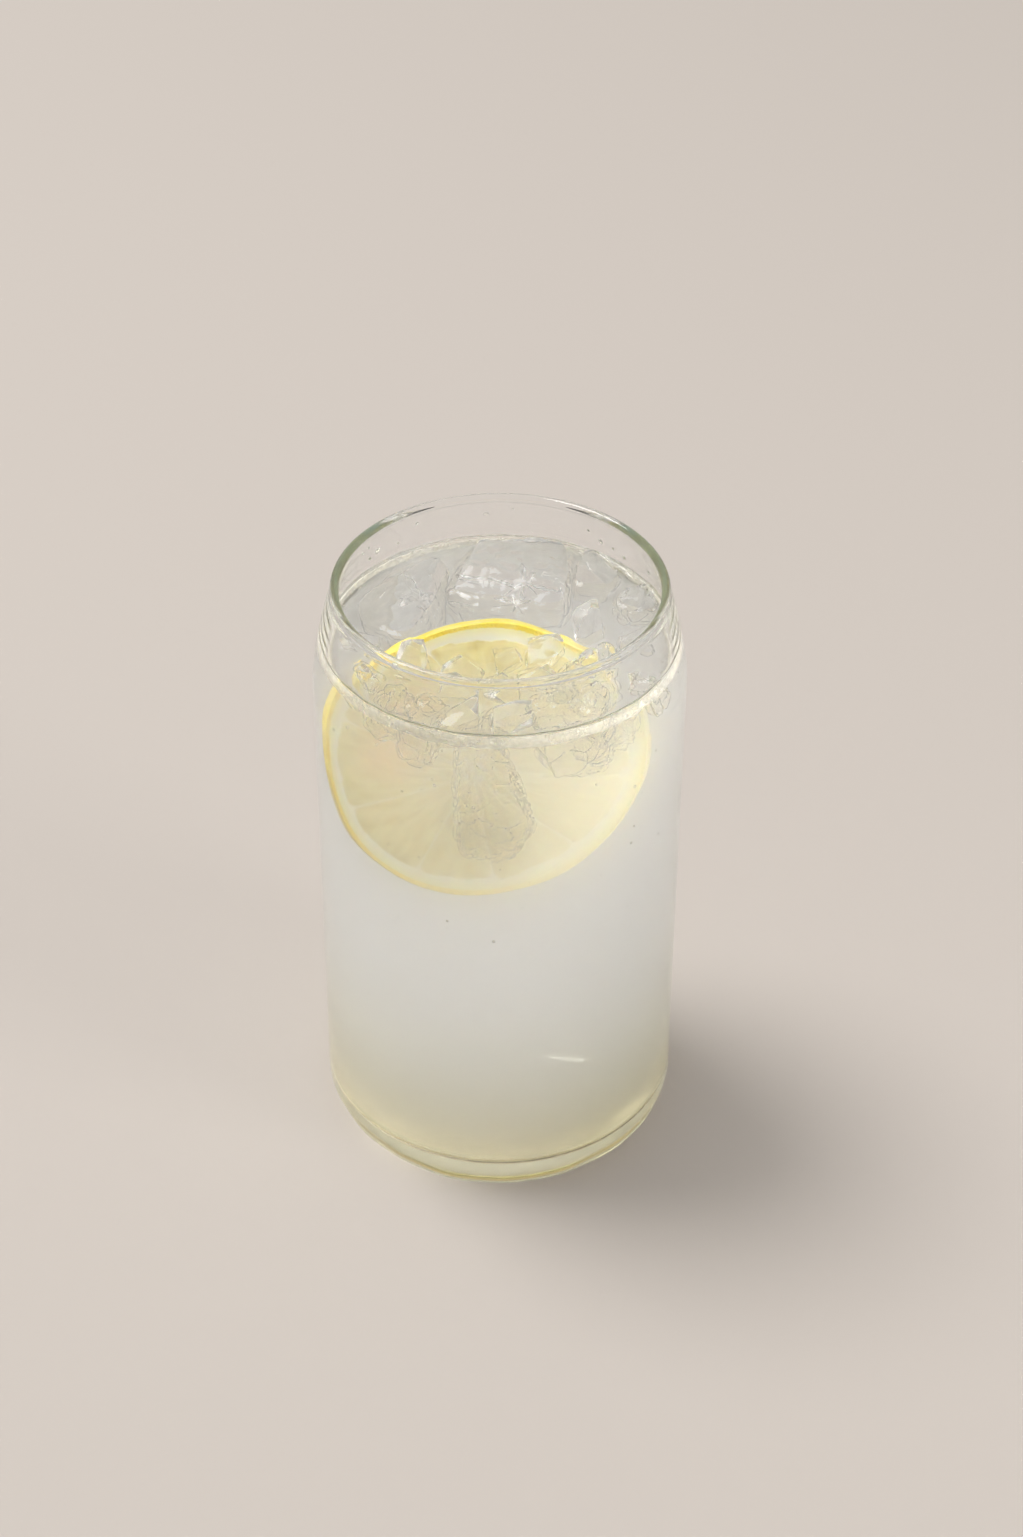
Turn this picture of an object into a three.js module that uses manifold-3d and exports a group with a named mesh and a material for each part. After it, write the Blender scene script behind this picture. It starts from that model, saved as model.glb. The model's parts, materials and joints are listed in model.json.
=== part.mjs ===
// A can-shaped glass of cloudy lemonade with a lemon slice and floating ice.
// Millimetres, +Z up. The origin is the centre of the foot, on the table.
import * as THREE from 'three';
import { mergeVertices } from 'three/addons/utils/BufferGeometryUtils.js';
import Module from 'manifold-3d';

const wasm = await Module();
wasm.setup();

// The glass
const HEIGHT = 133.5;
const BODY_RADIUS = 38;
const WALL = 2;
const RIM_RADIUS = 34;
const BEAD_RADIUS = 0.82;
const SHOULDER_START = 113.3;
const SHOULDER_POWER = 1.25;
const HEEL_HEIGHT = 7.7;
const FOOT_RADIUS = 32.7;
const RECESS_RADIUS = 25;
const RECESS_DEPTH = 1.2;
const FLOOR_HEIGHT = 7;
const FLOOR_FILLET = 4;
const SIDES_ROUND = 64;

// The drink
const LIQUID_LEVEL = 120.4;
const GAP = 0.3;

// The lemon slice: a slightly oval wheel that leans back in the drink
const SLICE_LONG_RADIUS = 29;
const SLICE_SHORT_RADIUS = 26.8;
const SLICE_THICKNESS = 3.4;
const SLICE_EDGE = 0.5;
const SLICE_CENTRE = new THREE.Vector3(-4, -10.4, 99.6);
const SLICE_LEAN_BACK = THREE.MathUtils.degToRad(19);
const SLICE_TURN = THREE.MathUtils.degToRad(3);
const SLICE_ROLL = THREE.MathUtils.degToRad(24);
const SLICE_SIDES = 56;

// The ice: melted blocks, each with its size, the middle of its top, and its turns in degrees
const ICE_EDGE = 2.2;
const ICE_DENT = 0.55;
const ICE_WAVE_LENGTH = 19;
const ICE_TAPER = 0.012;
const ICE_GRID = 4;
const ICE_WALL_CLEARANCE = 1;
const ICE_BLOCKS = [
  { name: 'ice_back', size: [25, 22, 15], top: [1.5, 20.5, 123.6], turn: -3, lean: 7, roll: -2 },
  { name: 'ice_left_back', size: [17, 24, 17], top: [-21, 14.5, 122.6], turn: -24, lean: 5, roll: -7 },
  { name: 'ice_right_back', size: [9.5, 10.5, 13], top: [20.8, 22, 124], turn: -16, lean: -6, roll: 9 },
  { name: 'ice_right', size: [10, 9, 11], top: [28, 12.5, 122.6], turn: 34, lean: 8, roll: -10 },
  { name: 'ice_front_right', size: [13.5, 16, 18], top: [18, -8.5, 123.6], turn: 28, lean: -8, roll: 8 },
  { name: 'ice_right_small', size: [8.5, 8, 9], top: [28, -15, 122.4], turn: 12, lean: 12, roll: -8 },
  { name: 'ice_front_wide', size: [17, 9.5, 16], top: [13.8, -23.8, 122], turn: 16, lean: 8, roll: 5 },
  { name: 'ice_front_centre', size: [13.5, 9.5, 36], top: [-2, -26.6, 121.8], turn: -2, lean: 9, roll: -3 },
  { name: 'ice_front_left', size: [8.5, 9, 14], top: [-13.5, -24.2, 122], turn: -30, lean: 10, roll: 7 },
  { name: 'ice_left_front', size: [7, 8, 11], top: [-20.5, -20, 121.8], turn: -48, lean: 8, roll: 6 },
  { name: 'ice_far_left', size: [8.5, 7, 9], top: [-26.4, -13, 122], turn: -58, lean: 6, roll: -9 },
];

const degrees = THREE.MathUtils.degToRad;

function finish(color, roughness, opacity) {
  return new THREE.MeshStandardMaterial({ color, roughness, metalness: 0, opacity, transparent: opacity < 1 });
}

const materials = {
  glass: finish(0xe4eae4, 0.03, 0.35),
  lemonade: finish(0xdcd6bd, 0.15, 0.9),
  lemon: finish(0xf0d560, 0.45, 1),
  ice: finish(0xeef1ee, 0.08, 0.5),
};

function solidOf(geometry) {
  geometry.deleteAttribute('normal');
  geometry.deleteAttribute('uv');
  const merged = mergeVertices(geometry);
  const corners = merged.index.array;
  const faces = [];
  for (let i = 0; i < corners.length; i += 3) {
    const [a, b, c] = corners.slice(i, i + 3);
    if (a !== b && b !== c && c !== a) faces.push(a, b, c);
  }
  const vertProperties = new Float32Array(merged.attributes.position.array);
  return new wasm.Manifold(new wasm.Mesh({ numProp: 3, vertProperties, triVerts: new Uint32Array(faces) }));
}

function largestPiece(solid) {
  return solid.decompose().reduce((best, piece) => (piece.volume() > best.volume() ? piece : best));
}

function meshOf(name, solid, material) {
  const { vertProperties, triVerts } = solid.getMesh();
  const geometry = new THREE.BufferGeometry();
  geometry.setAttribute('position', new THREE.BufferAttribute(vertProperties, 3));
  geometry.setIndex(new THREE.BufferAttribute(triVerts, 1));
  geometry.computeVertexNormals();
  const mesh = new THREE.Mesh(geometry, material);
  mesh.name = name;
  return mesh;
}

// Turned solids

function arc(centre, radiusX, radiusY, startAngle, endAngle, steps) {
  const points = [];
  for (let i = 0; i <= steps; i += 1) {
    const angle = startAngle + ((endAngle - startAngle) * i) / steps;
    points.push(new THREE.Vector2(centre.x + radiusX * Math.cos(angle), centre.y + radiusY * Math.sin(angle)));
  }
  return points;
}

const BEAD_HEIGHT = HEIGHT - BEAD_RADIUS;

function shoulderShare(height) {
  return Math.max(0, (height - SHOULDER_START) / (BEAD_HEIGHT - SHOULDER_START));
}

function outerRadius(height) {
  return BODY_RADIUS - (BODY_RADIUS - RIM_RADIUS) * shoulderShare(height) ** SHOULDER_POWER;
}

function innerRadius(height) {
  const wall = WALL + (2 * BEAD_RADIUS - WALL) * shoulderShare(height);
  return outerRadius(height) - wall;
}

function shoulder(radiusAt, topHeight, steps) {
  const points = [];
  for (let i = 0; i <= steps; i += 1) {
    const height = SHOULDER_START + ((topHeight - SHOULDER_START) * i) / steps;
    points.push(new THREE.Vector2(radiusAt(height), height));
  }
  return points;
}

// The inside of the glass up to a height, kept clear of the wall and the floor by an inset.
function insideProfile(topHeight, inset, shoulderSteps) {
  const filletCentre = new THREE.Vector2(BODY_RADIUS - WALL - FLOOR_FILLET, FLOOR_HEIGHT + FLOOR_FILLET);
  const fillet = FLOOR_FILLET - inset;
  return [
    new THREE.Vector2(0, FLOOR_HEIGHT + inset),
    ...arc(filletCentre, fillet, fillet, -Math.PI / 2, 0, 4),
    ...shoulder((height) => innerRadius(height) - inset, topHeight, shoulderSteps),
  ];
}

function turned(profile, sides) {
  return solidOf(new THREE.LatheGeometry(profile, sides).rotateX(Math.PI / 2));
}

// The underside rises a little inside the ring that the glass stands on.
function recess(steps) {
  const points = [];
  for (let i = 0; i <= steps; i += 1) {
    const share = i / steps;
    points.push(new THREE.Vector2(RECESS_RADIUS * share, RECESS_DEPTH * (1 - share ** 2)));
  }
  return points;
}

function makeGlass() {
  const beadCentre = new THREE.Vector2(RIM_RADIUS - BEAD_RADIUS, BEAD_HEIGHT);
  const bead = arc(beadCentre, BEAD_RADIUS, BEAD_RADIUS, 0, Math.PI, 6);
  const heelCentre = new THREE.Vector2(FOOT_RADIUS, HEEL_HEIGHT);
  const outside = [
    ...recess(3),
    ...arc(heelCentre, BODY_RADIUS - FOOT_RADIUS, HEEL_HEIGHT, -Math.PI / 2, 0, 6),
    ...shoulder(outerRadius, BEAD_HEIGHT, 7),
    ...bead.slice(1, -1),
  ];
  const inside = insideProfile(BEAD_HEIGHT, 0, 6).reverse();
  return turned([...outside, ...inside], SIDES_ROUND);
}

function makeLiquid() {
  const profile = insideProfile(LIQUID_LEVEL, GAP, 3);
  return turned([...profile, new THREE.Vector2(0, LIQUID_LEVEL)], SIDES_ROUND);
}

// The slice, larger all round by a growth where it cuts its neighbours

function makeSlice(growth) {
  const half = SLICE_THICKNESS / 2 + growth;
  const radius = SLICE_LONG_RADIUS + growth;
  const profile = [
    new THREE.Vector2(0, -half),
    new THREE.Vector2(radius - SLICE_EDGE, -half),
    new THREE.Vector2(radius, -half + SLICE_EDGE),
    new THREE.Vector2(radius, half - SLICE_EDGE),
    new THREE.Vector2(radius - SLICE_EDGE, half),
    new THREE.Vector2(0, half),
  ];
  const squash = (SLICE_SHORT_RADIUS + growth) / radius;
  const disc = new THREE.LatheGeometry(profile, SLICE_SIDES).rotateX(Math.PI / 2).scale(1, squash, 1);
  disc.rotateZ(SLICE_ROLL).rotateX(Math.PI / 2);
  disc.translate(0, SLICE_THICKNESS / 2, 0);
  disc.rotateX(-SLICE_LEAN_BACK).rotateZ(SLICE_TURN);
  return solidOf(disc.translate(...SLICE_CENTRE));
}

// Ice: a box whose edges have melted round, with shallow dents that differ from block to block

function dentAt(core, order) {
  const pace = (2 * Math.PI) / ICE_WAVE_LENGTH;
  return ICE_DENT * (Math.sin(pace * core.x + 2 * order) + Math.sin(pace * (core.y + core.z / 2) + 3 * order));
}

function makeIce({ size, top, turn, lean, roll }, order, growth) {
  const half = size.map((length) => length / 2);
  const box = new THREE.BoxGeometry(2, 2, 2, ICE_GRID, ICE_GRID, ICE_GRID);
  const position = box.attributes.position;
  const point = new THREE.Vector3();
  for (let i = 0; i < position.count; i += 1) {
    point.fromBufferAttribute(position, i);
    const core = new THREE.Vector3();
    const outward = new THREE.Vector3();
    for (let axis = 0; axis < 3; axis += 1) {
      const share = point.getComponent(axis);
      core.setComponent(axis, Math.sign(share) * Math.min(1, Math.abs(share) * 2) * (half[axis] - ICE_EDGE));
      outward.setComponent(axis, Math.abs(share) > 0.99 ? Math.sign(share) : 0);
    }
    outward.normalize();
    const reach = ICE_EDGE + growth + dentAt(core, order);
    core.x *= 1 - ICE_TAPER * core.z;
    core.y *= 1 + ICE_TAPER * core.x;
    point.copy(core).addScaledVector(outward, reach);
    position.setXYZ(i, ...point);
  }
  box.translate(0, 0, -half[2]);
  box.rotateX(degrees(lean)).rotateY(degrees(roll)).rotateZ(degrees(turn));
  return solidOf(box.translate(...top));
}

// Each block gives way to the slice and to the blocks before it, and stays inside the glass.
// Its hole in the drink is wider than the block, and the space that it takes is wider still.
function makeIceSet() {
  const holeGrowth = GAP + 0.1;
  const takenGrowth = GAP + 0.2;
  const profile = insideProfile(BEAD_HEIGHT, ICE_WALL_CLEARANCE, 4);
  const room = turned([...profile, new THREE.Vector2(0, BEAD_HEIGHT)], SIDES_ROUND);
  let taken = makeSlice(takenGrowth);
  return ICE_BLOCKS.map((block, order) => {
    const solid = makeIce(block, order, 0).intersect(room).subtract(taken);
    const hole = makeIce(block, order, holeGrowth);
    taken = taken.add(makeIce(block, order, takenGrowth));
    return { name: block.name, solid: largestPiece(solid), hole };
  });
}

const glass = makeGlass();
const slice = makeSlice(0);
const blocks = makeIceSet();

let lemonade = makeLiquid().subtract(makeSlice(GAP));
for (const { hole } of blocks) lemonade = lemonade.subtract(hole);

const drink = new THREE.Group();
drink.add(meshOf('glass', glass, materials.glass));
drink.add(meshOf('lemonade', largestPiece(lemonade), materials.lemonade));
drink.add(meshOf('lemon_slice', slice, materials.lemon));
for (const { name, solid } of blocks) drink.add(meshOf(name, solid, materials.ice));

export default drink;
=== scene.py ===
import json
import math
import random

import bmesh
import bpy
from mathutils import Matrix, Vector, noise
from mathutils.bvhtree import BVHTree

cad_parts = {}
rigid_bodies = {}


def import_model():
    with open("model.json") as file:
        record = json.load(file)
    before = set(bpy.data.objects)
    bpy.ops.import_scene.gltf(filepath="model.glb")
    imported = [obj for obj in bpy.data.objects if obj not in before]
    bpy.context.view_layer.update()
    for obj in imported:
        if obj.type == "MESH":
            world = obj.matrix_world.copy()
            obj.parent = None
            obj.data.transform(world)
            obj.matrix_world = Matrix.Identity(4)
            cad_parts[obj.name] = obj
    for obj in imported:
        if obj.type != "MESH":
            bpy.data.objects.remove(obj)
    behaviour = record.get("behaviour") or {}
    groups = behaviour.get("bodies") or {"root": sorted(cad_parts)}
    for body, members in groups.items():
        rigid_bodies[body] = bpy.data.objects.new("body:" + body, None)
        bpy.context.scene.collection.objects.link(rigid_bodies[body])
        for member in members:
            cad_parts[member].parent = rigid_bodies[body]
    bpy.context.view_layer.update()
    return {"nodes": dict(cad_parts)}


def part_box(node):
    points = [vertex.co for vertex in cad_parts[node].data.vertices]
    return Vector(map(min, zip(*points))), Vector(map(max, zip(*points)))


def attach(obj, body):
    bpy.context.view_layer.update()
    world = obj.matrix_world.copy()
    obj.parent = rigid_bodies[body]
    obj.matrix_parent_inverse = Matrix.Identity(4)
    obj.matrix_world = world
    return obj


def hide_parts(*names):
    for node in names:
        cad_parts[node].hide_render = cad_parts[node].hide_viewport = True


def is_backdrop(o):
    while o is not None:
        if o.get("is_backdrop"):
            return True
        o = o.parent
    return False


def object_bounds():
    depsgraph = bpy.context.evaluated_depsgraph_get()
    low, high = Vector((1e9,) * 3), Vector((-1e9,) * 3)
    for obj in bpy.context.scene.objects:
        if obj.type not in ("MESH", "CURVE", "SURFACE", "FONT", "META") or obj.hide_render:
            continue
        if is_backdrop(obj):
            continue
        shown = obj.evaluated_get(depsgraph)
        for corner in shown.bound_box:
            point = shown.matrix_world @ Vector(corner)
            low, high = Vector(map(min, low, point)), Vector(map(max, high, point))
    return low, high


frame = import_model()
scene = bpy.context.scene
MM = 0.001

# Camera: a 70 mm lens that looks down on the glass from the front, a step away.
VIEW_DOWN = math.radians(37.48)
VIEW_ROLL = math.radians(0.34)
VIEW_DISTANCE = 622.2 * MM
VIEW_AIM = Vector((2.46, 0, 87.0)) * MM

camera = bpy.data.objects.new("camera", bpy.data.cameras.new("camera"))
camera.data.lens = 70
camera.data.clip_start = 0.01
view_back = Vector((0, -math.cos(VIEW_DOWN), math.sin(VIEW_DOWN)))
view_turn = Matrix.Rotation(math.pi / 2 - VIEW_DOWN, 4, "X") @ Matrix.Rotation(VIEW_ROLL, 4, "Z")
camera.matrix_world = Matrix.Translation(VIEW_AIM + view_back * VIEW_DISTANCE) @ view_turn
scene.collection.objects.link(camera)
scene.camera = camera
scene.view_settings.view_transform = "Standard"

# Rays: light has to pass through several walls of glass, drink and ice, and to scatter in the drink.
scene.cycles.max_bounces = 64
scene.cycles.glossy_bounces = 48
scene.cycles.transmission_bounces = 32
scene.cycles.transparent_max_bounces = 24
scene.cycles.volume_bounces = 32

# Stage: a wide pale floor, a large soft lamp high on the left, a smaller low one on the right that
# lifts the shaded side, and an even pale surround.
FLOOR_COLOUR = (0.535, 0.484, 0.44, 1)
FLOOR_REACH = 6.0
FLOOR_DROP = 0.05 * MM
SURROUND_COLOUR = (1.0, 0.985, 0.965, 1)
SURROUND_STRENGTH = 0.56
KEY_PLACE = Vector((-0.88, 0.42, 1.95))
KEY_SIZE = 1.1
KEY_POWER = 32
LOW_PLACE = Vector((0.85, -0.45, 0.33))
LOW_SIZE = 0.4
LOW_POWER = 3.1


class Shade:
    """One socket of a node tree. Arithmetic on it adds Math nodes, and node() adds any other node."""

    def __init__(self, tree, socket=None):
        self.tree = tree
        self.socket = socket

    def node(self, kind, settings=None, inputs=None, output=0):
        made = self.tree.nodes.new("ShaderNode" + kind)
        for name, value in (settings or {}).items():
            setattr(made, name, value)
        for key, value in (inputs or {}).items():
            if isinstance(value, Shade):
                self.tree.links.new(value.socket, made.inputs[key])
            else:
                made.inputs[key].default_value = value
        return Shade(self.tree, made.outputs[output])

    def math(self, operation, *values):
        return self.node("Math", {"operation": operation}, dict(enumerate(values)))

    def __add__(self, other):
        return self.math("ADD", self, other)

    def __sub__(self, other):
        return self.math("SUBTRACT", self, other)

    def __rsub__(self, other):
        return self.math("SUBTRACT", other, self)

    def __mul__(self, other):
        return self.math("MULTIPLY", self, other)

    __radd__ = __add__
    __rmul__ = __mul__

    def __truediv__(self, other):
        return self.math("DIVIDE", self, other)

    def rise(self, low, high):
        """0 below low, 1 above high, and a smooth rise between them, or a fall if low is the larger."""
        settings = {"interpolation_type": "SMOOTHSTEP"}
        bounds = {"Value": self, "From Min": min(low, high), "From Max": max(low, high)}
        bounds |= {"To Min": float(low > high), "To Max": float(low <= high)}
        return self.node("MapRange", settings, bounds)

    def blend(self, first, second):
        """The colour that goes from the first to the second as this goes from 0 to 1."""
        return self.node("Mix", {"data_type": "RGBA"}, {"Factor": self, 6: first, 7: second}, output=2)

    def noise(self, place, scale, detail=3.0):
        return self.node("TexNoise", None, {"Vector": place, "Scale": scale, "Detail": detail})


def new_material(name):
    material = bpy.data.materials.new(name)
    material.use_nodes = True
    material.node_tree.nodes.clear()
    return material, Shade(material.node_tree)


def show(shade, surface, volume=None):
    output = shade.tree.nodes.new("ShaderNodeOutputMaterial")
    shade.tree.links.new(surface.socket, output.inputs["Surface"])
    if volume:
        shade.tree.links.new(volume.socket, output.inputs["Volume"])


def piece_from(name, bm, material):
    """A smooth mesh object in the scene, made from a bmesh, at the origin."""
    mesh = bpy.data.meshes.new(name)
    bm.to_mesh(mesh)
    bm.free()
    mesh.shade_smooth()
    mesh.materials.append(material)
    piece = bpy.data.objects.new(name, mesh)
    scene.collection.objects.link(piece)
    return piece


floor_material, shade = new_material("pale_floor")
show(shade, shade.node("BsdfPrincipled", None, {"Base Color": FLOOR_COLOUR, "Roughness": 0.75}))
bm = bmesh.new()
bmesh.ops.create_grid(bm, x_segments=1, y_segments=1, size=FLOOR_REACH)
bmesh.ops.translate(bm, verts=bm.verts, vec=(0, 0, -FLOOR_DROP))
floor = piece_from("floor", bm, floor_material)
floor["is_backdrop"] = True

scene.world = bpy.data.worlds.new("surround")
scene.world.use_nodes = True
background = scene.world.node_tree.nodes["Background"]
background.inputs["Color"].default_value = SURROUND_COLOUR
background.inputs["Strength"].default_value = SURROUND_STRENGTH


def soft_lamp(name, place, size, power):
    lamp = bpy.data.objects.new(name, bpy.data.lights.new(name, "AREA"))
    lamp.data.shape = "DISK"
    lamp.data.size = size
    lamp.data.energy = power
    lamp.location = place
    lamp.visible_camera = False
    lamp.rotation_euler = (VIEW_AIM - place).to_track_quat("-Z", "Y").to_euler()
    scene.collection.objects.link(lamp)
    return lamp


soft_lamp("key_lamp", KEY_PLACE, KEY_SIZE, KEY_POWER)
low_lamp = soft_lamp("low_lamp", LOW_PLACE, LOW_SIZE, LOW_POWER)
# It lights the drink, but doesn't show in the glass as a spot.
low_lamp.data.cycles.use_multiple_importance_sampling = False


# Glass: one blown and pressed tumbler of clear glass, straight in the body, drawn in at the shoulder
# to a fire-polished bead, with a thick base. The metal has a faint green cast that shows end on.
GLASS_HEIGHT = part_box("glass")[1].z / MM
BODY_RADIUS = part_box("glass")[1].x / MM
WALL = 2.0
RIM_RADIUS = 34.0
BEAD_RADIUS = 0.95
NECK_WALL = 1.35
NECK_INSET = 0.3
SHOULDER_START = 113.3
SHOULDER_POWER = 1.25
HEEL_HEIGHT = 7.7
FOOT_RADIUS = 32.7
RECESS_RADIUS = 25.0
RECESS_DEPTH = 1.2
FLOOR_HEIGHT = 7.0
FLOOR_FILLET = 4.0
BEAD_HEIGHT = GLASS_HEIGHT - BEAD_RADIUS
BEAD_STEP = 0.25
PRESS_WAVE = 0.22
PRESS_START = 20
PRESS_FADE_UP = 4
PRESS_FADE_DOWN = 1.5


def arc(x, z, radius_x, radius_z, start, end, steps):
    """Points on an oval arc, as (radius, height) in millimetres, between two angles in degrees."""
    angles = [math.radians(start + (end - start) * i / steps) for i in range(steps + 1)]
    return [(x + radius_x * math.cos(a), z + radius_z * math.sin(a)) for a in angles]


def shoulder_share(height):
    return max(0.0, (height - SHOULDER_START) / (BEAD_HEIGHT - SHOULDER_START))


def outer_radius(height):
    share = shoulder_share(height)
    drawn_in = (BODY_RADIUS - RIM_RADIUS) * share ** SHOULDER_POWER
    return BODY_RADIUS - drawn_in - NECK_INSET * share ** 6


def inner_radius(height):
    return outer_radius(height) - WALL - (NECK_WALL - WALL) * shoulder_share(height)


def climb(radius_at, low, high, steps):
    heights = [low + (high - low) * i / steps for i in range(steps + 1)]
    return [(radius_at(height), height) for height in heights]


def turned(profile, steps, ring=False):
    """A closed body turned about Z from a profile in millimetres, whose ends lie on the axis or meet."""
    bm = bmesh.new()
    verts = [bm.verts.new((radius * MM, 0, height * MM)) for radius, height in profile]
    ends = verts[1:] + verts[:1] if ring else verts[1:]
    edges = [bm.edges.new(pair) for pair in zip(verts, ends)]
    axis = {"axis": (0, 0, 1), "cent": (0, 0, 0), "angle": 2 * math.pi}
    bmesh.ops.spin(bm, geom=verts + edges, steps=steps, use_merge=True, **axis)
    bmesh.ops.remove_doubles(bm, verts=bm.verts, dist=0.002 * MM)
    bmesh.ops.recalc_face_normals(bm, faces=bm.faces)
    return bm


def clear_through(shade, surface):
    """Lets the lamp's light pass a clear surface, which otherwise throws a solid shadow."""
    through = shade.node("BsdfTransparent")
    shadow_ray = shade.node("LightPath", output=1)
    return shade.node("MixShader", None, {"Fac": shadow_ray, 1: surface, 2: through})


recess = [(RECESS_RADIUS * i / 8, RECESS_DEPTH * (1 - (i / 8) ** 2)) for i in range(9)]
bead = arc(RIM_RADIUS - BEAD_RADIUS, BEAD_HEIGHT, BEAD_RADIUS, BEAD_RADIUS, -40, 220, 26)
neck_height = bead[0][1] - BEAD_STEP
fillet_x = BODY_RADIUS - WALL - FLOOR_FILLET
fillet_z = FLOOR_HEIGHT + FLOOR_FILLET
glass_profile = recess + arc(FOOT_RADIUS, HEEL_HEIGHT, BODY_RADIUS - FOOT_RADIUS, HEEL_HEIGHT, -90, 0, 18)
glass_profile += climb(outer_radius, HEEL_HEIGHT, SHOULDER_START, 12)[1:-1]
glass_profile += climb(outer_radius, SHOULDER_START, neck_height, 24) + bead
glass_profile += climb(inner_radius, neck_height, SHOULDER_START, 24)
glass_profile += climb(inner_radius, SHOULDER_START, fillet_z, 12)[1:-1]
glass_profile += arc(fillet_x, fillet_z, FLOOR_FILLET, FLOOR_FILLET, 0, -90, 12)
glass_profile += [(fillet_x * i / 8, FLOOR_HEIGHT) for i in range(7, -1, -1)]

GREEN_CAST = (0.36, 0.55, 0.43, 1)
GREEN_DENSITY = 6.0

glass_material, shade = new_material("clear_glass")
gloss = {"Base Color": (1, 1, 1, 1), "Roughness": 0.0, "IOR": 1.5, "Transmission Weight": 1.0}
green = shade.node("VolumeAbsorption", None, {"Color": GREEN_CAST, "Density": GREEN_DENSITY})
show(shade, clear_through(shade, shade.node("BsdfPrincipled", None, gloss)), green)

# The heel is pressed in a little unevenly, most of all near its middle.
bm = turned(glass_profile, 288)
for vert in bm.verts:
    radius = math.hypot(vert.co.x, vert.co.y) / MM
    height = vert.co.z / MM
    if radius > PRESS_START and 0.2 < height < HEEL_HEIGHT and abs(height - FLOOR_HEIGHT) > 0.01:
        turn = math.atan2(vert.co.y, vert.co.x)
        wave = math.sin(5 * turn + 1) + 0.7 * math.sin(11 * turn) + 0.6 * math.sin(19 * turn + 2)
        fade = min(1.0, (HEEL_HEIGHT - height) / PRESS_FADE_UP) * min(1.0, height / PRESS_FADE_DOWN)
        shrink = 1 - PRESS_WAVE * (2.3 + wave) / 2 * fade / radius
        vert.co.x *= shrink
        vert.co.y *= shrink
glass = piece_from("tumbler", bm, glass_material)
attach(glass, "root")
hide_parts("glass")


# Lemon slice: a wheel cut across a lemon, 3.4 mm thick. A thin yellow peel and thick white pith go
# round nine segments of juicy flesh, between pale skins that meet in a pith core.
SLICE_LONG = 29.0
SLICE_SHORT = 26.8
SLICE_THICKNESS = 3.4
SLICE_EDGE = 0.5
SLICE_CENTRE = Vector((-4, -10.4, 99.6)) * MM
SLICE_ROLL = math.radians(24)
SLICE_PLACE = (
    Matrix.Translation(SLICE_CENTRE)
    @ Matrix.Rotation(math.radians(3), 4, "Z")
    @ Matrix.Rotation(math.radians(-19), 4, "X")
)
SEGMENTS = 9
SEGMENT_START = 0.286
ZEST_WIDTH = 1.5
PITH_WIDTH = 4.5
CORE_RADIUS = 1.9
SKIN_WIDTH = 0.32
FLESH_BULGE = 0.2


def flesh_depth(radius, angle):
    """How far a point lies inside the flesh of its segment, in millimetres, or 0 outside it."""
    lean = 0.16 * math.sin(angle + 1.2) + 0.07 * math.sin(3 * angle)
    share = ((angle + lean) * SEGMENTS / (2 * math.pi) - SEGMENT_START) % 1.0
    to_skin = radius * math.sin(min(share, 1 - share) * 2 * math.pi / SEGMENTS) - SKIN_WIDTH
    to_pith = SLICE_LONG - PITH_WIDTH - radius
    return max(0.0, min(to_skin, to_pith, radius - CORE_RADIUS))


face_profile = [(radius * 0.5, 0.0) for radius in range(int(2 * (SLICE_LONG - SLICE_EDGE)) + 1)]
half_profile = list(face_profile)
half_profile += arc(SLICE_LONG - SLICE_EDGE, SLICE_EDGE, SLICE_EDGE, SLICE_EDGE, -90, 0, 3)[1:]
half_profile += [(SLICE_LONG, SLICE_THICKNESS * 0.35), (SLICE_LONG, SLICE_THICKNESS * 0.5)]
slice_profile = half_profile + [(r, SLICE_THICKNESS - z) for r, z in reversed(half_profile[:-1])]
bm = turned(slice_profile, 288)
place_layer = bm.verts.layers.float_vector.new("slice_place")
for vert in bm.verts:
    x, y, z = vert.co / MM
    radius, angle = math.hypot(x, y), math.atan2(y, x)
    vert[place_layer] = (x, y, z)
    side = -1 if z < SLICE_THICKNESS / 2 else 1
    near_rim = max(0.0, radius - SLICE_LONG + 2) / 2
    peel = 0.07 * noise.noise(vert.co / MM * 0.7) + 0.04 * noise.noise(vert.co / MM * 2)
    lump = 0.2 * math.sin(3 * angle + 0.5) + 0.12 * math.sin(8 * angle) + 0.06 * math.sin(13 * angle + 2)
    grow = 1 + (peel + lump - 0.3) * near_rim / SLICE_LONG
    x *= grow
    y *= grow * SLICE_SHORT / SLICE_LONG
    if z < 0.01 or z > SLICE_THICKNESS - 0.01:
        depth = flesh_depth(radius, angle)
        sacs = noise.noise(Vector((angle * 9, radius * 0.35, side * 4)))
        z += side * (FLESH_BULGE * min(1.0, depth) + 0.12 * sacs * min(1.0, depth) - 0.15)
    vert.co = Vector((x, y, z)) * MM
bmesh.ops.rotate(bm, verts=bm.verts, matrix=Matrix.Rotation(SLICE_ROLL, 3, "Z"))
bmesh.ops.rotate(bm, verts=bm.verts, matrix=Matrix.Rotation(math.pi / 2, 3, "X"))
bmesh.ops.translate(bm, verts=bm.verts, vec=(0, SLICE_THICKNESS * MM, 0))
bmesh.ops.transform(bm, verts=bm.verts, matrix=SLICE_PLACE)

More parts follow.
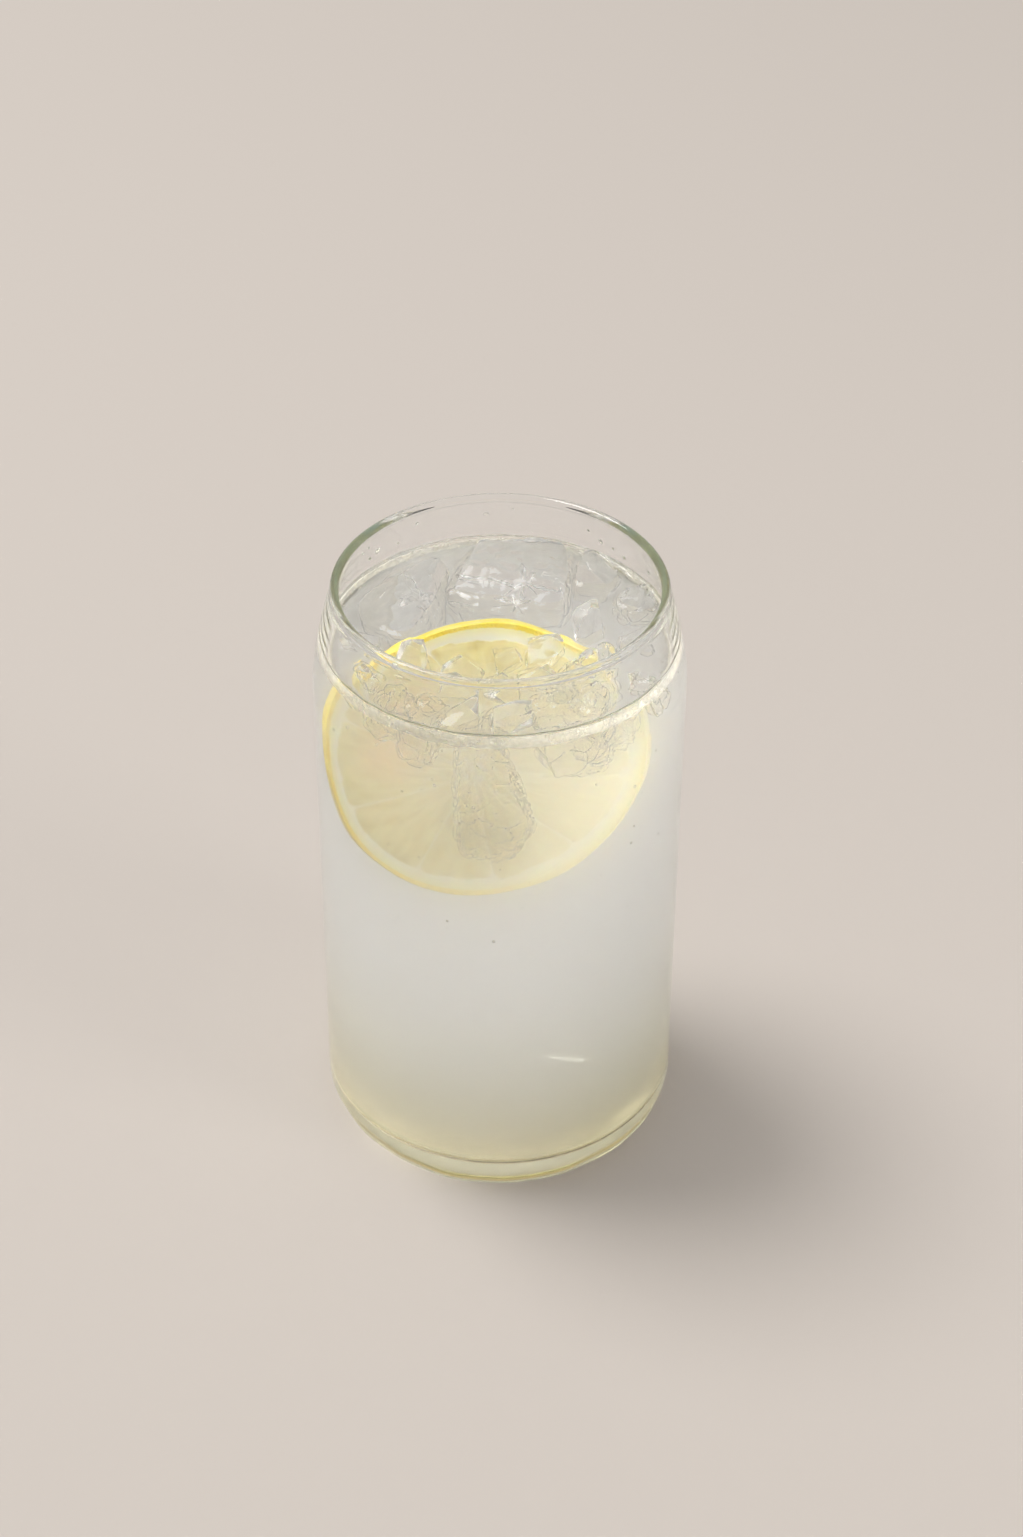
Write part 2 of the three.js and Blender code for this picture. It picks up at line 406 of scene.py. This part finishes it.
PEEL_COLOUR = (0.99, 0.74, 0.08, 1)
PEEL_PALE = (0.99, 0.80, 0.22, 1)
# Painted light: the peel's colour on the lower right, painted paler where the drink is brightest.
PAINTED_LIGHT_PEEL_COLOUR = (0.94, 0.84, 0.48, 1)
UNDER_PEEL_COLOUR = (0.97, 0.88, 0.50, 1)
PITH_COLOUR = (0.95, 0.90, 0.70, 1)
FLESH_COLOUR = (0.70, 0.59, 0.23, 1)
SAC_COLOUR = (0.86, 0.78, 0.43, 1)
BLUSH_COLOUR = (0.92, 0.60, 0.32, 1)
BLUSH_PLACE = (-11.6, 8.4, 0)

lemon_material, shade = new_material("lemon_slice")
place = shade.node("Attribute", {"attribute_name": "slice_place"}, output=1)
parts = [shade.node("SeparateXYZ", None, {"Vector": place}, output=i) for i in range(3)]
radius = shade.math("SQRT", parts[0] * parts[0] + parts[1] * parts[1])
angle = shade.math("ARCTAN2", parts[1], parts[0])
lean = 0.16 * shade.math("SINE", angle + 1.2) + 0.07 * shade.math("SINE", 3 * angle)
share = shade.math("FLOORED_MODULO", (angle + lean) * (SEGMENTS / (2 * math.pi)) - SEGMENT_START, 1.0)
nearest = shade.math("MINIMUM", share, 1 - share)
to_skin = radius * shade.math("SINE", nearest * (2 * math.pi / SEGMENTS)) - SKIN_WIDTH
wobble = shade.noise(place, 0.35) - 0.5
to_pith = SLICE_LONG - PITH_WIDTH + 2.2 * wobble - radius
depth = shade.math("SMOOTH_MIN", to_skin, to_pith, 3.0) + 0.3
depth = shade.math("MINIMUM", depth, radius - CORE_RADIUS)
flesh = depth.rise(-0.15, 0.4)
sac_place = shade.node("CombineXYZ", None, {0: angle * 9, 1: radius * 0.16, 2: parts[2] * 0.2})
sacs = shade.node("TexVoronoi", {"feature": "SMOOTH_F1"}, {"Vector": sac_place, "Scale": 1.3})
sac_walls = sacs.rise(0.1, 0.7)
flesh_colour = sac_walls.blend(FLESH_COLOUR, SAC_COLOUR)
flesh_colour = shade.noise(place, 0.08, 2.0).rise(0.4, 0.75).blend(flesh_colour, SAC_COLOUR)
from_blush = shade.node("VectorMath", {"operation": "DISTANCE"}, {0: place, 1: BLUSH_PLACE}, output=1)
flesh_colour = (from_blush.rise(9, 2) * 0.7).blend(flesh_colour, BLUSH_COLOUR)
grain = shade.noise(place, 1.4, 4.0)
peel = (radius + 0.8 * grain).rise(SLICE_LONG - ZEST_WIDTH + 0.2, SLICE_LONG - ZEST_WIDTH + 0.6)
pith_colour = radius.rise(SLICE_LONG - 4.0, SLICE_LONG - ZEST_WIDTH).blend(PITH_COLOUR, UNDER_PEEL_COLOUR)
peel_colour = shade.noise(place, 0.25, 2.0).rise(0.3, 0.7).blend(PEEL_COLOUR, PEEL_PALE)
# Painted light: the lower right of the slice, where the drink is brightest, is painted paler, the peel most
# of all.
painted_light_mask = (parts[0] * 0.8 - parts[1] * 0.6).rise(4, 24)
peel_colour = (painted_light_mask * 0.85).blend(peel_colour, PAINTED_LIGHT_PEEL_COLOUR)
flesh_colour = (painted_light_mask * 0.25).blend(flesh_colour, PITH_COLOUR)
colour = peel.blend(flesh.blend(pith_colour, flesh_colour), peel_colour)
pores = shade.node("TexVoronoi", None, {"Vector": place, "Scale": 1.1})
relief = peel * pores.rise(0.5, 0.1) * -0.5 + flesh * sac_walls * 0.5
bump = shade.node("Bump", None, {"Strength": 0.6, "Distance": 0.25 * MM, "Height": relief})
wet = {"Base Color": colour, "Roughness": 0.25 + 0.12 * grain, "Normal": bump}
wet |= {"Subsurface Weight": 0.6, "Subsurface Scale": 1.2 * MM, "Subsurface Radius": (1.0, 0.8, 0.4)}
show(shade, shade.node("BsdfPrincipled", None, wet))
lemon = piece_from("lemon_wheel", bm, lemon_material)
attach(lemon, "root")
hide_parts("lemon_slice")


# Ice: eleven clear blocks that float at the top, chipped and melted round, with flat cracks and star
# cracks inside. Each is worked from its own solid, so it keeps its place and size.
ICE_VOXEL = 0.45 * MM
ICE_SMOOTHING = 2
ICE_CHIPS = 12
LARGE_CHIP = (0.04, 0.16)
SMALL_CHIP = (0.06, 0.24)
ICE_HAZE = (0.998, 0.992, 0.975, 1)
ICE_HAZE_DENSITY = 38.0
SUNK_ICE = ("ice_front_centre",)
SUNK_ICE_HAZE_DENSITY = 28.0
ICE_DENT = 0.5
ICE_RIPPLE = 0.11
SMALL_ICE_RIPPLE = 0.2
ICE_CREASE = 0.25
SMALL_ICE_CREASE = 0.8
CREASE_WIDTH = 0.3
LARGE_ICE = ("ice_back", "ice_left_back", "ice_right_back")
ICE_SEAT = 0.22
CRACK_ARMS = 7
CRACK_STARS = {
    "ice_back": [((5.0, 18.6, 120.4), 7.0), ((3.2, 11.6, 120.2), 5.0)],
    "ice_left_back": [((-19, 15, 117), 4.0)],
}
CRACK_LENSES = {
    "ice_back": [
        ((-3.0, 18.8, 120.6), (6.6, 1.3, 0.35), -18),
        ((-8.2, 12.2, 119.6), (2.8, 0.4, 0.12), -20),
    ],
    "ice_left_back": [((-17.5, 19.0, 117.5), (1.0, 5.5, 0.2), 15)],
}


def ice_finish(name, bend, haze_density):
    """Clear ice with a faint frost on its faces and fine air in it. Bend is its refractive index."""
    material, shade = new_material(name)
    place = shade.node("TexCoord", output=3)
    frost = shade.noise(place, 300.0, 2.0).rise(0.55, 0.8)
    wet_ice = {"Base Color": (1, 1, 1, 1), "IOR": bend, "Transmission Weight": 1.0}
    wet_ice |= {"Roughness": frost * 0.05}
    haze = {"Color": ICE_HAZE, "Density": haze_density, "Anisotropy": 0.65}
    surface = clear_through(shade, shade.node("BsdfPrincipled", None, wet_ice))
    show(shade, surface, shade.node("VolumeScatter", None, haze))
    return material


ice_material = ice_finish("clear_ice", 1.31, ICE_HAZE_DENSITY)
sunk_ice_material = ice_finish("melting_ice", 1.333, SUNK_ICE_HAZE_DENSITY)


def evaluated(piece):
    """The piece's mesh with its modifiers applied, as a new bmesh. The piece is removed."""
    found = piece.evaluated_get(bpy.context.evaluated_depsgraph_get())
    bm = bmesh.new()
    bm.from_mesh(found.to_mesh())
    bpy.data.objects.remove(piece)
    return bm


def chip(bm, depth, draw):
    """Cuts flat chips off the outermost corners and edges of a block."""
    spans = [[vert.co[i] for vert in bm.verts] for i in range(3)]
    size = min(max(span) - min(span) for span in spans)
    for _ in range(ICE_CHIPS):
        way = Vector((draw.uniform(-1, 1), draw.uniform(-1, 1), draw.uniform(-0.5, 1))).normalized()
        cut = max(vert.co.dot(way) for vert in bm.verts) - size * draw.uniform(*depth)
        geom = bm.verts[:] + bm.edges[:] + bm.faces[:]
        bmesh.ops.bisect_plane(bm, geom=geom, plane_co=way * cut, plane_no=way, clear_outer=True)
        bmesh.ops.holes_fill(bm, edges=[edge for edge in bm.edges if edge.is_boundary])


def ice_body(node, draw):
    """The CAD block, chipped, melted round, dented and grown by most of its gap to the drink."""
    bm = bmesh.new()
    bm.from_mesh(frame["nodes"][node].data)
    bmesh.ops.remove_doubles(bm, verts=bm.verts, dist=0.001 * MM)
    large = node in LARGE_ICE
    chip(bm, LARGE_CHIP if large else SMALL_CHIP, draw)
    draft = piece_from("draft", bm, ice_material)
    remesh = draft.modifiers.new("fine", "REMESH")
    remesh.mode = "VOXEL"
    remesh.voxel_size = ICE_VOXEL
    bm = evaluated(draft)
    all_ways = {"use_axis_x": True, "use_axis_y": True, "use_axis_z": True}
    for _ in range(ICE_SMOOTHING):
        bmesh.ops.smooth_vert(bm, verts=bm.verts, factor=0.5, **all_ways)
    bm.normal_update()
    shift = Vector((draw.uniform(0, 99), 0, 0))
    ripple = ICE_RIPPLE if large else SMALL_ICE_RIPPLE
    crease = ICE_CREASE if large else SMALL_ICE_CREASE
    moves = []
    for vert in bm.verts:
        spot = vert.co / MM
        nearest, next_nearest = noise.voronoi(spot * 0.24 + shift)[0][:2]
        groove = max(0.0, 1 - (next_nearest - nearest) / CREASE_WIDTH)
        dent = ICE_DENT * noise.noise(spot * 0.2 + shift) + ripple * noise.noise(spot * 0.55 + shift)
        moves.append(vert.normal * (min(dent, 0.1) - crease * groove + ICE_SEAT) * MM)
    for vert, move in zip(bm.verts, moves):
        vert.co += move
    return bm


def grown(bm, distance):
    """A copy of a bmesh, moved out along its normals."""
    copy = bm.copy()
    copy.normal_update()
    moves = [vert.normal * distance for vert in copy.verts]
    for vert, move in zip(copy.verts, moves):
        vert.co += move
    return copy


def hollow(flaws, place, size, turn, draw, rough=0.3):
    """A small hollow, such as a crack or bubble, whose faces look into it. Sizes in millimetres."""
    made = bmesh.ops.create_icosphere(flaws, subdivisions=2, radius=MM)["verts"]
    shift = Vector((draw.uniform(0, 99), 0, 0))
    stretch = turn @ Matrix.Diagonal(size)
    for vert in made:
        vert.co *= 1 + rough * noise.noise(vert.co / MM * 1.5 + shift)
        vert.co = stretch @ vert.co + place
    for face in {face for vert in made for face in vert.link_faces}:
        face.normal_flip()


def joined(bm, flaws):
    """Adds the hollows to a body, and frees them."""
    mesh = bpy.data.meshes.new("flaws")
    flaws.to_mesh(mesh)
    flaws.free()
    bm.from_mesh(mesh)
    bpy.data.meshes.remove(mesh)


def crack_star(flaws, centre, reach, draw):
    """Thin flat cracks that spread from one point, as where ice was struck."""
    for arm in range(CRACK_ARMS):
        heading = 2 * math.pi * (arm + draw.uniform(-0.3, 0.3)) / CRACK_ARMS
        length = reach * draw.uniform(0.45, 1.0)
        tilt = draw.uniform(-0.3, 0.15)
        turn = Matrix.Rotation(heading, 3, "Z") @ Matrix.Rotation(-tilt, 3, "Y")
        turn = turn @ Matrix.Rotation(draw.uniform(-1.2, 1.2), 3, "X")
        middle = Vector(centre) * MM + turn @ Vector((length * 0.55 * MM, 0, 0))
        hollow(flaws, middle, (length / 2, draw.uniform(0.3, 0.8), 0.1), turn, draw)


HOLE_INSET = 0.05 * MM
draw = random.Random(7)
holes = bpy.data.collections.new("holes")
ice_nodes = sorted(name for name in frame["nodes"] if name.startswith("ice_"))
wetted = bmesh.new()
wetted.from_mesh(lemon.data)
for node in ice_nodes:
    bm = ice_body(node, draw)
    body = bpy.data.meshes.new("body")
    bm.to_mesh(body)
    wetted.from_mesh(body)
    hole = piece_from("hole_" + node, grown(bm, -HOLE_INSET), ice_material)
    scene.collection.objects.unlink(hole)
    holes.objects.link(hole)
    flaws = bmesh.new()
    for centre, reach in CRACK_STARS.get(node, []):
        crack_star(flaws, centre, reach, draw)
    for centre, size, heading in CRACK_LENSES.get(node, []):
        hollow(flaws, Vector(centre) * MM, size, Matrix.Rotation(math.radians(heading), 3, "Z"), draw)
    joined(bm, flaws)
    block_material = sunk_ice_material if node in SUNK_ICE else ice_material
    block = piece_from(node.replace("ice_", "clear_ice_"), bm, block_material)
    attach(block, "root")
    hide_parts(node)


# Broken ice: twelve clear shards that float about half sunk among the blocks, at the front and sides.
# They are one piece, and each is a cube cut down by planes, with its edges melted.
SHARDS = 12
SHARD_TRIES = 12000
SHARD_SIZE = 4.2
SHARD_SHRINK = 0.06
SHARD_CUTS = 7
SHARD_CUT_DEPTH = (0.45, 0.95)
SHARD_EDGE = 0.14
SHARD_ZONE = (-2.5, 1.2)
SHARD_REACH = 33.0
SHARD_TURNS = (-math.pi, 0.35)
SHARD_GAP = 0.2


def shard(shards, centre, size, draw):
    """One angular shard round a centre, cut from a cube by planes that lie at most its size away."""
    bm = bmesh.new()
    bmesh.ops.create_cube(bm, size=2 * size)
    for _ in range(SHARD_CUTS):
        way = Vector((draw.gauss(0, 1), draw.gauss(0, 1), draw.gauss(0, 1))).normalized()
        geom = bm.verts[:] + bm.edges[:] + bm.faces[:]
        cut = way * size * draw.uniform(*SHARD_CUT_DEPTH)
        bmesh.ops.bisect_plane(bm, geom=geom, plane_co=cut, plane_no=way, clear_outer=True)
        bmesh.ops.holes_fill(bm, edges=[edge for edge in bm.edges if edge.is_boundary])
    bmesh.ops.dissolve_limit(bm, angle_limit=0.02, verts=bm.verts, edges=bm.edges)
    melted = {"affect": "EDGES", "segments": 2, "profile": 0.5, "material": -1, "clamp_overlap": True}
    bmesh.ops.bevel(bm, geom=bm.edges, offset=SHARD_EDGE * MM, **melted)
    bmesh.ops.recalc_face_normals(bm, faces=bm.faces)
    bmesh.ops.translate(bm, verts=bm.verts, vec=centre)
    joined(shards, bm)


def spaced(spot, size, gap, taken):
    """Whether a ball keeps the gap to all those already taken, each a place and a size."""
    return all((spot - other).length > size + other_size + gap for other, other_size in taken)


# The largest come first. Each is cut from a cube round a ball that is clear of the slice, the blocks and
# the other balls, so at most its corners and edges touch a neighbour.
draw = random.Random(33)
placed_tree = BVHTree.FromBMesh(wetted)
shards = bmesh.new()
taken = []
drink_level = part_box("lemonade")[1].z
for _ in range(SHARD_TRIES):
    size = (SHARD_SIZE - SHARD_SHRINK * len(taken)) * MM
    heading = draw.uniform(*SHARD_TURNS)
    reach = SHARD_REACH * MM * math.sqrt(draw.uniform(0.1, 1.0)) - size
    spot = Vector((reach * math.cos(heading), reach * math.sin(heading), 0))
    spot.z = drink_level + draw.uniform(*SHARD_ZONE) * MM
    clear = placed_tree.find_nearest(spot)[3] > size + SHARD_GAP * MM
    if clear and spaced(spot, size, SHARD_GAP * MM, taken):
        taken.append((spot, size))
        shard(shards, spot, size, draw)
    if len(taken) == SHARDS:
        break
body = bpy.data.meshes.new("body")
shards.to_mesh(body)
wetted.from_mesh(body)
hole = piece_from("hole_shards", grown(shards, -HOLE_INSET), ice_material)
scene.collection.objects.unlink(hole)
holes.objects.link(hole)
broken_ice = piece_from("clear_ice_shards", shards, ice_material)
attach(broken_ice, "root")


# Lemonade: cloudy with fine pulp, filled to 13 mm below the rim. It wets the wall, the ice and the
# slice, so it creeps up them a little. It reaches just into the wall and the ice, with no air between.
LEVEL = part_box("lemonade")[1].z / MM
OVERLAP = 0.05
CREEP = 0.9
CREEP_REACH = 0.8
WALL_CREEP = 1.8
WALL_CREEP_REACH = 1.1
SURFACE_RIPPLE = 0.16
TOP_RINGS = 90
ROUND_STEPS = 340


def wet_radius(height):
    return inner_radius(height) + OVERLAP


wall_radius = wet_radius(LEVEL)
liquid_profile = [(fillet_x * i / 4, FLOOR_HEIGHT - OVERLAP) for i in range(4)]
liquid_profile += arc(fillet_x, fillet_z, FLOOR_FILLET + OVERLAP, FLOOR_FILLET + OVERLAP, -90, 0, 12)
liquid_profile += climb(wet_radius, fillet_z, SHOULDER_START, 6)[1:]
liquid_profile += climb(wet_radius, SHOULDER_START, LEVEL, 8)[1:]
liquid_profile += [(wall_radius * i / TOP_RINGS, LEVEL) for i in range(TOP_RINGS - 1, -1, -1)]
bm = turned(liquid_profile, ROUND_STEPS)
wet_tree = BVHTree.FromBMesh(wetted)
for vert in bm.verts:
    if vert.co.z < (LEVEL - 0.01) * MM:
        continue
    to_wall = max(0.0, wall_radius - OVERLAP - math.hypot(vert.co.x, vert.co.y) / MM)
    near = wet_tree.find_nearest(vert.co)[3] / MM
    rise = WALL_CREEP * math.exp(-to_wall / WALL_CREEP_REACH) + CREEP * math.exp(-near / CREEP_REACH)
    vert.co.z += (rise + SURFACE_RIPPLE * noise.noise(vert.co / MM * 0.3)) * MM
draft = piece_from("draft", bm, ice_material)
cut = draft.modifiers.new("ice_holes", "BOOLEAN")
cut.operation = "DIFFERENCE"
cut.operand_type = "COLLECTION"
cut.collection = holes
cut.solver = "MANIFOLD"
bm = evaluated(draft)
for hole in list(holes.objects):
    bpy.data.objects.remove(hole)
bpy.data.collections.remove(holes)

WALL_BUBBLES = 150
RIM_BUBBLES = 60
WALL_BUBBLE_SIZE = 0.12
WALL_BUBBLE_SPREAD = 0.25
WALL_BUBBLE_TOP = 1.5
WALL_BUBBLE_DEPTH = 50
WALL_BUBBLE_INSET = (0.1, 2.0)
RIM_BUBBLE_SIZE = (0.25, 0.6)
RIM_BUBBLE_DEPTH = (0.1, 0.5)
RIM_BUBBLE_INSET = (0.1, 0.4)
BUBBLE_GAP = 0.1
draw = random.Random(21)
bubbles = bmesh.new()
taken = []
for index in range(WALL_BUBBLES + RIM_BUBBLES):
    at_rim = index >= WALL_BUBBLES
    if at_rim:
        size = draw.uniform(*RIM_BUBBLE_SIZE)
        height = LEVEL - size - draw.uniform(*RIM_BUBBLE_DEPTH)
    else:
        size = WALL_BUBBLE_SIZE + WALL_BUBBLE_SPREAD * draw.random() ** 3
        height = LEVEL - WALL_BUBBLE_TOP - WALL_BUBBLE_DEPTH * draw.random() ** 2
    heading = draw.uniform(0, 2 * math.pi)
    reach = inner_radius(height) - size - draw.uniform(*(RIM_BUBBLE_INSET if at_rim else WALL_BUBBLE_INSET))
    spot = Vector((reach * math.cos(heading), reach * math.sin(heading), height)) * MM
    clear = wet_tree.find_nearest(spot)[3] > (size + 1.5 * BUBBLE_GAP) * MM
    if clear and spaced(spot, size * MM, BUBBLE_GAP * MM, taken):
        taken.append((spot, size * MM))
        hollow(bubbles, spot, (size, size, size), Matrix.Identity(3), draw, rough=0)
joined(bm, bubbles)

PULP_COLOUR = (0.9995, 0.990, 0.968, 1)
PULP_DENSITY = 60.0
PULP_FORWARD = 0.68
TOP_TINT = (1.0, 0.985, 0.95, 1)
LOW_TINT = (1.0, 0.97, 0.80, 1)
FOOT_TINT = (1.0, 0.88, 0.58, 1)

lemonade_material, shade = new_material("cloudy_lemonade")
place = shade.node("TexCoord", output=3)
height = shade.node("SeparateXYZ", None, {"Vector": place}, output=2) / MM
tint = height.rise(62, 9).blend(TOP_TINT, LOW_TINT)
tint = height.rise(9, 7.2).blend(tint, FOOT_TINT)
water = {"Base Color": tint, "Roughness": 0.0, "IOR": 1.34, "Transmission Weight": 1.0}
pulp = {"Color": PULP_COLOUR, "Density": PULP_DENSITY, "Anisotropy": PULP_FORWARD}
surface = clear_through(shade, shade.node("BsdfPrincipled", None, water))
show(shade, surface, shade.node("VolumeScatter", None, pulp))
lemonade = piece_from("lemonade_fill", bm, lemonade_material)
lemonade.data.set_sharp_from_angle(angle=math.radians(40))
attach(lemonade, "root")
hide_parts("lemonade")

# Pulp line: a thin uneven ring of fine pulp and froth that clings to the wall at the drink's level.
PULP_LINE_LOW = -1.3
PULP_LINE_HIGH = 0.9
PULP_LINE_THICKNESS = 0.3
PULP_LINE_INSET = 0.06
PULP_LINE_RAGGED = 0.35
PULP_LINE_COLOUR = (0.95, 0.91, 0.79, 1)

low, high = LEVEL + PULP_LINE_LOW, LEVEL + PULP_LINE_HIGH
outer = [(inner_radius(height) - PULP_LINE_INSET, height) for height in (low, (low + high) / 2, high)]
inner = [(radius - PULP_LINE_THICKNESS, height) for radius, height in reversed(outer)]
bm = turned(outer + inner, 240, ring=True)
for vert in bm.verts:
    if abs(vert.co.z / MM - (low + high) / 2) > 0.5:
        vert.co.z += PULP_LINE_RAGGED * noise.noise(vert.co / MM * 0.5) * MM

pulp_line_material, shade = new_material("pulp_line")
place = shade.node("TexCoord", output=3)
patches = shade.noise(place, 160.0, 2.0).rise(0.25, 0.8)
specks = shade.noise(place, 1200.0, 2.0).rise(0.4, 0.7)
cover = patches * 0.3 + specks * 0.12 + 0.12
froth = {"Base Color": PULP_LINE_COLOUR, "Roughness": 0.6, "Alpha": cover}
show(shade, shade.node("BsdfPrincipled", None, froth))
pulp_line = piece_from("pulp_line", bm, pulp_line_material)
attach(pulp_line, "root")


# Drops: splashes and melt water that cling to the inside of the wall above the drink at the back.
DROPS = 13
DROP_SIZE = (0.25, 0.65)
DROP_TURNS = (0.45, 2.7)
DROP_LOW = 4.0
DROP_HIGH = 3.5
DROP_GAP = 0.3

water_material, shade = new_material("clear_water")
water = {"Base Color": (1, 1, 1, 1), "Roughness": 0.0, "IOR": 1.33, "Transmission Weight": 1.0}
show(shade, clear_through(shade, shade.node("BsdfPrincipled", None, water)))
draw = random.Random(5)
drops = bmesh.new()
taken = []
while len(taken) < DROPS:
    size = DROP_SIZE[0] + (DROP_SIZE[1] - DROP_SIZE[0]) * draw.random() ** 2
    heading = draw.uniform(*DROP_TURNS)
    height = draw.uniform(LEVEL + DROP_LOW, GLASS_HEIGHT - DROP_HIGH)
    reach = inner_radius(height) + 0.35 * size
    spot = Vector((reach * math.cos(heading), reach * math.sin(heading), height))
    if not spaced(spot, size, DROP_GAP, taken):
        continue
    taken.append((spot, size))
    made = bmesh.ops.create_icosphere(drops, subdivisions=3, radius=size * MM)["verts"]
    for vert in made:
        vert.co.z *= 1.2
        vert.co += spot * MM
        wall = wet_radius(vert.co.z / MM) * MM / math.hypot(vert.co.x, vert.co.y)
        vert.co.xy *= min(1.0, wall)
wall_drops = piece_from("wall_drops", drops, water_material)
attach(wall_drops, "root")

low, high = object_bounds()
